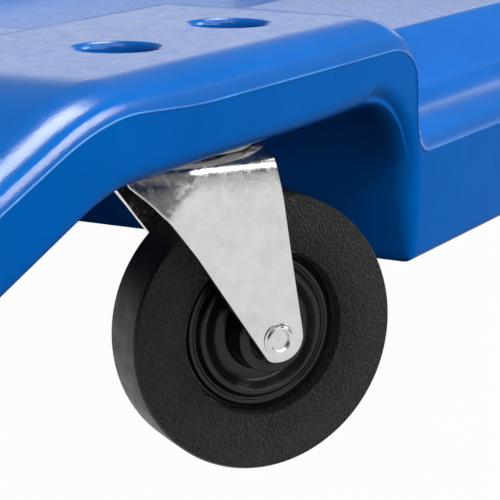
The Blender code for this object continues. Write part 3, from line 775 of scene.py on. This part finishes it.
def mirrored_faces(half):
    """A closed wheel profile from half of it, given as millimetre corners from y = 0."""
    upper = rounded_profile(half)
    return upper + [(x, -y) for x, y in reversed(upper) if y > 1e-9]


def wheel_mesh(name, half, count, closed=True):
    """Turned around the wheel's axle, which lies along Y."""
    mesh = turned_mesh(name, mirrored_faces(half), count, closed)
    mesh.transform(Matrix.Rotation(radians(90), 4, "X"))
    return mesh


def tyre_mesh():
    half = [(19.1, 0, 0), (19.1, 6.25, 0.45), (24.1, 7.35, 14), (31.2, 6.9, 0.25),
            (31.7, 6.1, 0.25), (31.75, 0, 0)]
    mesh = wheel_mesh("tyre", half, 128)
    # Faces past the tread edge take the darker tread rubber, which is painted shade.
    for face in mesh.polygons:
        if face.center.xz.length > TREAD_EDGE:
            face.material_index = 1
    return mesh


def core_mesh():
    half = [(3, 0, 0), (3, 10.3, 0.3), (5.6, 10.3, 0.3), (6, 10.9, 0.3), (7.7, 10.9, 0.4),
            (8.2, 10.3, 0.3), (8.6, 3.8, 1.2), (11.4, 2.8, 2.4), (13.9, 5.1, 0.9),
            (14.9, 4.7, 0.7), (16, 3.1, 0.4), (16.5, 3.7, 0.25), (17.3, 3.7, 0.25),
            (17.8, 2.9, 0.25), (18.8, 2.8, 0.2), (18.8, 0, 0)]
    return wheel_mesh("core", half, 112)


def rivet_mesh():
    """Hollow rivet with a rolled flange outside each leg of the fork."""
    half = [(2.7, 0, 0), (2.7, 13.4, 0), (3.7, 13.4, 0), (3.7, 13.6, 0.06),
            (3.2, 13.66, 0.05), (3.1, 13.95, 0.15), (2.75, 14.15, 0.15), (2.3, 14.0, 0.2),
            (2, 12.9, 0.3), (1.1, 12.5, 0.4), (0, 12.4, 0)]
    return wheel_mesh("rivet", half, 48, closed=False)


def edge_at(height, edge):
    """Where a leg's edge lies at this height, in metres along the trail."""
    heights, places = zip(*edge)
    return float(np.interp(height / MM, heights, places)) * MM


def curl_at(x, z):
    """How far the rear corner of a leg is bent inwards."""
    (x1, z1), (x2, z2) = CURL_LINE
    length = hypot(x2 - x1, z2 - z1)
    past = ((z2 - z1) * (x / MM - x1) - (x2 - x1) * (z / MM - z1)) / length
    soft = 1.2
    return CURL_SLOPE * MM * (hypot(past, soft) - soft) if past > 0 else 0.0


def fork_row(height, across, columns):
    """One row of points on the fork's outer face, from its back edge to its front."""
    back, front = edge_at(height, LEG_BACK), edge_at(height, LEG_FRONT)
    if height < WHEEL_RADIUS:
        depth = min((WHEEL_RADIUS - height) / LEG_END_DEPTH, 0.9999)
        half = LEG_END_HALF * sqrt(1 - depth ** 2)
        front = min(front, TRAIL + half)
        back = max(back, TRAIL - half)
    row = []
    for k in range(columns + 1):
        x = back + (front - back) * k / columns
        row.append((x, across - curl_at(x, min(height, CROWN_TOP - BEND_RADIUS)), height))
    return row


def fork_mesh():
    """Folded sheet: two tapering legs, joined over rounded bends by the crown."""
    columns = 40
    bend = CROWN_TOP - BEND_RADIUS
    leg = [WHEEL_RADIUS - LEG_END_DEPTH * cos(radians(angle))
           for angle in (2, 8, 15, 23, 32, 42, 53, 65, 78, 90)]
    leg += [WHEEL_RADIUS + (bend - WHEEL_RADIUS) * k / 26 for k in range(1, 27)]
    lean = 0.35 * MM
    rows = [fork_row(height, LEG_HALF - lean * ramp(height, (bend - 3.5 * MM, bend)), columns)
            for height in leg]
    for angle in (15, 30, 45, 60, 75, 90):
        turn = radians(angle)
        across = LEG_HALF - lean - BEND_RADIUS * (1 - cos(turn))
        rows.append(fork_row(bend + BEND_RADIUS * sin(turn), across, columns))
    crown = rows[-1]
    for share in (0.7, 0.4, 0.1):
        rows.append([(x, y * share, z) for x, y, z in crown])
    half = np.array(rows)
    other = half[::-1] * np.array([1, -1, 1])
    grid = np.concatenate([half, other])
    count = columns + 1
    faces = []
    for i in range(len(grid) - 1):
        for k in range(columns):
            a, b = i * count + k, (i + 1) * count + k
            faces.append((a, a + 1, b + 1, b))
    mesh = mesh_of("fork_sheet", grid.reshape(-1, 3), faces, 60)
    bm = bmesh.new()
    bm.from_mesh(mesh)
    bmesh.ops.recalc_face_normals(bm, faces=bm.faces)
    middle = max(bm.faces, key=lambda face: face.calc_center_median().z)
    if middle.normal.z < 0:
        bmesh.ops.reverse_faces(bm, faces=bm.faces)
    bm.to_mesh(mesh)
    bm.free()
    sheet = new_object("fork", mesh)
    modify(sheet, "SOLIDIFY", thickness=SHEET, offset=-1, use_even_offset=True)
    modify(sheet, "BEVEL", width=0.28 * MM, segments=2, limit_method="ANGLE",
           angle_limit=radians(55))
    return shaded(applied(sheet), 50)


def joined(name, meshes):
    bm = bmesh.new()
    for mesh in meshes:
        bm.from_mesh(mesh)
    return shaded(taken(bm, name))


def ball_mesh(radius, place):
    bm = bmesh.new()
    bmesh.ops.create_icosphere(bm, subdivisions=2, radius=radius)
    bmesh.ops.translate(bm, verts=bm.verts, vec=place)
    return taken(bm, "ball")


def ball_race_mesh():
    """Pressed lower race on the crown, a ring of balls and the turned-over upper lip."""
    low, high = CROWN_TOP + 0.3 * MM, PLATE_LOW.z - 0.3 * MM
    race = [(13, low / MM, 0), (16.4, low / MM, 0.4), (16.4, low / MM + 1.1, 0.4),
            (15.4, low / MM + 0.8, 0.5), (13, low / MM + 0.8, 0)]
    lip = [(13.2, high / MM, 0), (15.9, high / MM, 0.3), (15.9, high / MM - 0.7, 0.3),
           (13.2, high / MM - 0.7, 0)]
    rings = [turned_mesh("race", rounded_profile(part), 64, closed=True)
             for part in (race, lip)]
    middle = (low + high) / 2
    circle = circle_points(0, BALL_CIRCLE, 0, 360, BALL_COUNT)
    balls = [ball_mesh(BALL_RADIUS, (x, y, middle)) for x, y in circle[:-1]]
    return joined("race", rings + balls)


def kingpin_mesh():
    """Rivet through the plate and the crown, with a domed head below."""
    top = PLATE_HIGH.z / MM - 0.1
    under = CROWN_TOP / MM - 2.3
    profile = [(0, top, 0), (6, top, 0.3), (3.7, top - 0.7, 0), (3.7, under, 0),
               (7, under, 0.3), (6.2, under - 1.7, 0.8), (0, under - 2.2, 0)]
    return turned_mesh("kingpin", rounded_profile(profile), 48)


def prism_mesh(name, outline, low, high, bevel, segments=3):
    """A flat outline given thickness, with rounded edges."""
    bm = bmesh.new()
    face = bm.faces.new([bm.verts.new((x, y, low)) for x, y in outline])
    grown = bmesh.ops.extrude_face_region(bm, geom=[face])["geom"]
    moved = [part for part in grown if isinstance(part, bmesh.types.BMVert)]
    bmesh.ops.translate(bm, verts=moved, vec=(0, 0, high - low))
    bmesh.ops.recalc_face_normals(bm, faces=bm.faces)
    level = [edge for edge in bm.edges
             if abs(edge.verts[0].co.z - edge.verts[1].co.z) < 1e-7]
    bmesh.ops.bevel(bm, geom=level, offset=bevel, segments=segments, affect="EDGES",
                    profile=0.5)
    return shaded(taken(bm, name))


def plate_mesh():
    """Oval plate: a round middle with an ear at each bolt, its edge slightly rounded."""
    ear, end_radius = BOLT_SPACING / 2, (PLATE_HIGH.x - PLATE_LOW.x - BOLT_SPACING) / 2
    waist = (PLATE_HIGH.y - PLATE_LOW.y) / 2
    lean = degrees(acos((waist - end_radius) / ear))
    corner = circle_points(ear, end_radius, 0, lean, 12)
    side = circle_points(0, waist, lean, 180 - lean, 24)
    half = corner + side + [(-x, y) for x, y in reversed(corner)]
    outline = half[:-1] + [(-x, -y) for x, y in half[:-1]]
    return prism_mesh("plate", outline, PLATE_LOW.z, PLATE_HIGH.z, 0.5 * MM)


def bolt_mesh():
    """Flanged hexagon bolt up through the deck, with its washer and nut in the cup."""
    low, top = (corner.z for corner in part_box("foot_right_near_bolt"))
    seat = PLATE_LOW.z - 0.3 * MM
    hexagon = circle_points(0, 5.2 * MM, 0, 300, 5)
    head = prism_mesh("head", hexagon, low, seat - 0.5 * MM, 0.35 * MM)
    flange = [(0, seat), (5.3 * MM, seat), (5.6 * MM, seat - 0.3 * MM),
              (5.3 * MM, seat - 0.8 * MM), (0, seat - 0.9 * MM)]
    shank = [(0, seat), (3 * MM, seat)]
    level = CUP_FLOOR
    while level < top - 1.2 * MM:
        shank += [(3 * MM, level), (2.55 * MM, level + 0.5 * MM), (3 * MM, level + MM)]
        level += MM
    shank += [(2.5 * MM, top), (0, top)]
    washer_top = CUP_FLOOR + 1.3 * MM
    washer = [(3.2, 86.62, 0), (7.6, 86.62, 0.2), (7.6, 87.9, 0.4), (3.2, 87.9, 0)]
    nut = prism_mesh("nut", circle_points(0, 5.6 * MM, 10, 310, 5), washer_top,
                     washer_top + 4.6 * MM, 0.4 * MM)
    parts = [head, turned_mesh("flange", flange, 40), turned_mesh("shank", shank, 28),
             turned_mesh("washer", rounded_profile(washer), 48, closed=True), nut]
    return joined("bolt", parts)


def make_casters():
    """Six casters that share their meshes."""
    wheel_place = Matrix.Translation((TRAIL, 0, WHEEL_RADIUS))
    shared = {
        "plate": (plate_mesh(), [plating], "zinc", "root"),
        "kingpin": (kingpin_mesh(), [steel], "dark_steel", "root"),
        "bolt": (bolt_mesh(), [steel], "dark_steel", "root"),
        "fork": (fork_mesh(), [plating], "zinc", "swivel"),
        "ball_cage": (ball_race_mesh(), [steel], "dark_steel", "swivel"),
        "axle_rivet": (rivet_mesh(), [plating], "zinc", "swivel"),
        "wheel_core": (core_mesh(), [nylon], "black_nylon", "wheel"),
        "tyre": (tyre_mesh(), [rubber, tread], "black_rubber", "wheel"),
    }
    for place in PLACES:
        spot = Matrix.Translation(swivel_axis(place))
        turned_spot = spot @ Matrix.Rotation(trail_angle(place), 4, "Z")
        for name, (mesh, materials, finish, body) in shared.items():
            if name == "bolt":
                ends = (("near_bolt", -1), ("far_bolt", 1))
                shifts = [(end, Matrix.Translation((side * BOLT_SPACING / 2, 0, 0)))
                          for end, side in ends]
            else:
                shifts = [(name, Matrix.Identity(4))]
            for node, shift in shifts:
                piece = new_object(f"{place}_{node}_look", mesh, materials)
                if name in ("axle_rivet", "wheel_core", "tyre"):
                    piece.matrix_world = turned_spot @ wheel_place
                elif body == "swivel":
                    piece.matrix_world = turned_spot
                else:
                    piece.matrix_world = spot @ shift
                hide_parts(f"{place}_{node}")
                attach(piece, "root" if body == "root" else f"{place}_{body}")


# --- headrest ---

BOARD_LOW, BOARD_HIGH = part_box("headrest_board")
PAD_LOW, PAD_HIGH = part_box("headrest_pad")


SEAM_HEIGHT = PAD_LOW.z + 9.5 * MM  # the piped seam that runs round the pad
STITCH_RISE = 4.6 * MM  # from the seam up to the row of stitches
PIPING_RADIUS = 1.7 * MM
PIPING_CORNER = 26 * MM
SEAM_REACH = 2.6 * MM  # half the height of the groove that the seam pulls in
SEAM_PULL = 1.6 * MM
CROWN_RISE = 2.2 * MM
CLOTH_FRAMES = 20


def rounded_rectangle(low, high, radius, count=8):
    """Outline in XY, anticlockwise, from two opposite corners."""
    centres = [(high.x - radius, high.y - radius, 0), (low.x + radius, high.y - radius, 90),
               (low.x + radius, low.y + radius, 180), (high.x - radius, low.y + radius, 270)]
    points = []
    for x, y, start in centres:
        arc = circle_points(x, radius, start, start + 90, count)
        points += [(over, y + up) for over, up in arc]
    return points


def inflate(piece, cap):
    """Where the piece's points go as cloth under pressure, none further than the cap."""
    before = np.array([vert.co for vert in piece.data.vertices])
    cloth = piece.modifiers.new("cloth", "CLOTH")
    settings = cloth.settings
    settings.use_pressure = True
    settings.uniform_pressure_force = 4
    settings.quality = 5
    settings.effector_weights.gravity = 0
    scene = bpy.context.scene
    for number in range(1, CLOTH_FRAMES + 1):
        scene.frame_set(number)
    evaluated = piece.evaluated_get(bpy.context.evaluated_depsgraph_get())
    after = np.array([vert.co for vert in evaluated.data.vertices])
    piece.modifiers.remove(cloth)
    scene.frame_set(1)
    shift = after - before
    length = np.linalg.norm(shift, axis=1, keepdims=True)
    return before + shift * np.minimum(1, cap / np.maximum(length, 1e-9))


def make_pad():
    """Foam pad in vinyl: inflated by cloth simulation, pulled in along its seams."""
    inset = Vector((5.5, 5.5, 0)) * MM
    outline = rounded_rectangle(PAD_LOW + inset, PAD_HIGH - inset, 20 * MM)
    block = new_object("pad_block", prism_mesh("pad_block", outline, PAD_LOW.z,
                                              PAD_HIGH.z - 5 * MM, 8 * MM, 5))
    modify(block, "REMESH", mode="VOXEL", voxel_size=4.5 * MM)
    pad = new_object("headrest_cushion", applied(block), [vinyl])
    spots = inflate(pad, 6 * MM)
    middle = (PAD_LOW + PAD_HIGH) / 2
    half = (PAD_HIGH - PAD_LOW) / 2
    across_x = np.clip(np.abs(spots[:, 0] - middle.x) / half.x, 0, 1)
    across_y = np.clip(np.abs(spots[:, 1] - middle.y) / half.y, 0, 1)
    crown = (1 - across_x ** 2.6) * (1 - across_y ** 5)
    spots[:, 2] += CROWN_RISE * crown * ramp(spots[:, 2], (PAD_LOW.z, PAD_HIGH.z - 8 * MM))
    height = spots[:, 2] - SEAM_HEIGHT
    pinch = np.exp(-(height / SEAM_REACH) ** 2) * SEAM_PULL
    rim = np.maximum(across_x, across_y) > 0.88
    outward = spots[:, :2] - np.array([middle.x, middle.y])
    outward /= np.maximum(np.linalg.norm(outward, axis=1, keepdims=True), 1e-9)
    spots[:, :2] -= outward * (pinch * rim)[:, None]
    low = np.array(PAD_LOW) + np.array([0.6, 0.6, 0]) * MM
    high = np.array(PAD_HIGH) - np.array([0.6, 0.6, 0.3]) * MM
    spots = np.clip(spots, low, high)
    pad.data.vertices.foreach_set("co", spots.ravel())
    modify(pad, "SUBSURF", levels=1, render_levels=1)
    mesh = applied(pad)
    mesh.shade_smooth()
    pad = new_object("headrest_cushion", mesh, [vinyl])
    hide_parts("headrest_pad")
    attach(pad, "root")
    return pad


def tube_mesh(name, path, radius, sides):
    """A round tube along a closed path."""
    path = np.array(path)
    ahead = np.roll(path, -1, axis=0) - np.roll(path, 1, axis=0)
    ahead /= np.linalg.norm(ahead, axis=1, keepdims=True)
    side = np.cross(ahead, (0, 0, 1))
    side /= np.linalg.norm(side, axis=1, keepdims=True)
    above = np.cross(side, ahead)
    turns = np.arange(sides) * 2 * pi / sides
    points = (path[:, None] + radius * (np.cos(turns)[None, :, None] * side[:, None]
                                        + np.sin(turns)[None, :, None] * above[:, None]))
    return mesh_of(name, points.reshape(-1, 3), ring_faces(len(path), sides, closed=True))


def make_piping(pad):
    """Piped seam round the pad, following its surface, with stitches above it."""
    tree = BVHTree.FromObject(pad, bpy.context.evaluated_depsgraph_get())
    outline = rounded_rectangle(PAD_LOW - Vector((5, 5, 0)) * MM,
                                PAD_HIGH + Vector((5, 5, 0)) * MM, PIPING_CORNER, count=14)
    ring = []
    for start, end in zip(outline, outline[1:] + outline[:1]):
        count = max(1, round(dist(start, end) / (3 * MM)))
        ring += [Vector(start).lerp(Vector(end), k / count) for k in range(count)]

    def on_side(x, y, level):
        """Where a point outside the pad meets its side, going straight in."""
        inner = Vector((min(max(x, PAD_LOW.x + PIPING_CORNER), PAD_HIGH.x - PIPING_CORNER),
                        min(max(y, PAD_LOW.y + PIPING_CORNER), PAD_HIGH.y - PIPING_CORNER),
                        level))
        start = Vector((x, y, level))
        spot = tree.ray_cast(start, (inner - start).normalized())[0]
        return spot if spot is not None else start

    path = [on_side(x, y, SEAM_HEIGHT) for x, y in ring]
    piping = new_object("headrest_piping", tube_mesh("piping", path, PIPING_RADIUS, 12), [vinyl])
    piping.data.shade_smooth()
    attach(piping, "root")
    dashes = []
    upper = [on_side(x, y, SEAM_HEIGHT + STITCH_RISE) for x, y in ring]
    for i, spot in enumerate(upper):
        ahead = upper[(i + 1) % len(upper)]
        run = ahead - spot
        if run.length < 1 * MM:
            continue
        dash = bmesh.new()
        bmesh.ops.create_uvsphere(dash, u_segments=8, v_segments=6, radius=1)
        facing = run.normalized().to_track_quat("X", "Z").to_matrix().to_4x4()
        shape = Matrix.Diagonal((1.15 * MM, 0.36 * MM, 0.36 * MM, 1))
        dash.transform(Matrix.Translation(spot + run * 0.5) @ facing @ shape)
        dashes.append(taken(dash, "dash"))
    stitches = new_object("headrest_stitches", joined("stitches", dashes), [thread])
    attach(stitches, "root")


def make_board():
    outline = rounded_rectangle(BOARD_LOW, BOARD_HIGH, 14 * MM, count=10)
    mesh = prism_mesh("board", outline, BOARD_LOW.z, BOARD_HIGH.z, 0.7 * MM)
    board = new_object("headrest_plywood", mesh, [wood])
    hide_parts("headrest_board")
    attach(board, "root")


def make_screws():
    """Pan-head screws up through the deck into the board."""
    low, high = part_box("headrest_right_screw")
    seat = low.z / MM + 2.6
    profile = [(0, low.z / MM + 0.9, 0), (0.9, low.z / MM + 0.9, 0.2), (1.5, low.z / MM, 0.2),
               (3.2, low.z / MM, 1.1), (4.6, seat - 0.9, 0.7), (4.6, seat, 0.1),
               (2.2, seat, 0.2), (2.2, high.z / MM - 1.5, 0), (0, high.z / MM, 0)]
    mesh = turned_mesh("screw", rounded_profile(profile), 40)
    for side in ("right", "left"):
        spot = centre(f"headrest_{side}_screw")
        screw = new_object(f"headrest_{side}_screw_look", mesh, [plating])
        screw.location = (spot.x, spot.y, 0)
        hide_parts(f"headrest_{side}_screw")
        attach(screw, "root")


# --- floor and light ---

FLOOR_GLOW = 0.97
WORLD_HORIZON = (0.26,) * 3
WORLD_TOP = (0.1,) * 3
LIGHTS = {  # place, size and watts of each soft box
    "key": ((-1.5, -0.9, 2.2), (1.3, 1.3), 15),
    "right": ((-0.4, -1.7, 1.9), (1.6, 0.9), 12),
    "side_panel": ((-0.55, -2.0, 0.75), (1.6, 0.4), 10),
    "front_box": ((0.34, -0.12, 1.45), (0.5, 0.6), 10),
    "low_box": ((0.66, -1.28, 0.9), (0.62, 0.62), 11),
    "back_panel": ((1.6, 0.85, 0.48), (2.4, 0.4), 2.4),
}
LIGHT_TARGET = (-0.25, -0.15, 0.05)
FLOOR_REACH = 12


def floor_sheet(name, paint, glow):
    """A sheet of pale floor that gives off this much light of its own."""
    material, tree, shader = new_material(paint, 0.85, specular=0.1)
    colour_by(tree, shader, noise(tree, 3, 2), (0.13,) * 3, (0.15,) * 3)
    shader.inputs["Emission Color"].default_value = (1, 1, 1, 1)
    shader.inputs["Emission Strength"].default_value = glow
    bm = bmesh.new()
    bmesh.ops.create_grid(bm, x_segments=1, y_segments=1, size=FLOOR_REACH)
    sheet = new_object(name, taken(bm, name), [material])
    return sheet


def make_floor():
    """A glowing pale floor for the eye and reflections, and a dim one that bounces light."""
    shown = floor_sheet("studio_floor", "floor_glow", FLOOR_GLOW)
    shown.visible_diffuse = False
    bounce = floor_sheet("studio_bounce", "floor_paint", 0)
    bounce.visible_camera = bounce.visible_glossy = False


def make_light(name, location, target, size, power):
    data = bpy.data.lights.new(name, "AREA")
    data.shape = "RECTANGLE"
    data.size, data.size_y = size
    data.energy = power
    light = new_object(name, data)
    light.location = location
    light.rotation_euler = (Vector(target) - light.location).to_track_quat("-Z", "Y").to_euler()
    light.visible_camera = False


def make_world():
    """Grey at the horizon, darker overhead."""
    world = bpy.data.worlds.new("studio")
    bpy.context.scene.world = world
    world.use_nodes = True
    tree = world.node_tree
    place = add_node(tree, "ShaderNodeTexCoord")
    split = add_node(tree, "ShaderNodeSeparateXYZ")
    tree.links.new(place.outputs["Generated"], split.inputs["Vector"])
    height = spread(tree, split.outputs["Z"], -0.1, 0.6, 0, 1)
    tree.links.new(blend_colours(tree, height, WORLD_HORIZON, WORLD_TOP),
                   tree.nodes["Background"].inputs["Color"])


def make_studio():
    make_world()
    for name, (location, size, power) in LIGHTS.items():
        make_light(name, location, LIGHT_TARGET, size, power)
    bpy.context.scene.view_settings.view_transform = "Standard"


make_camera()
make_floor()
make_studio()
make_deck()
make_casters()
make_board()
make_piping(make_pad())
make_screws()

bpy.context.view_layer.update()
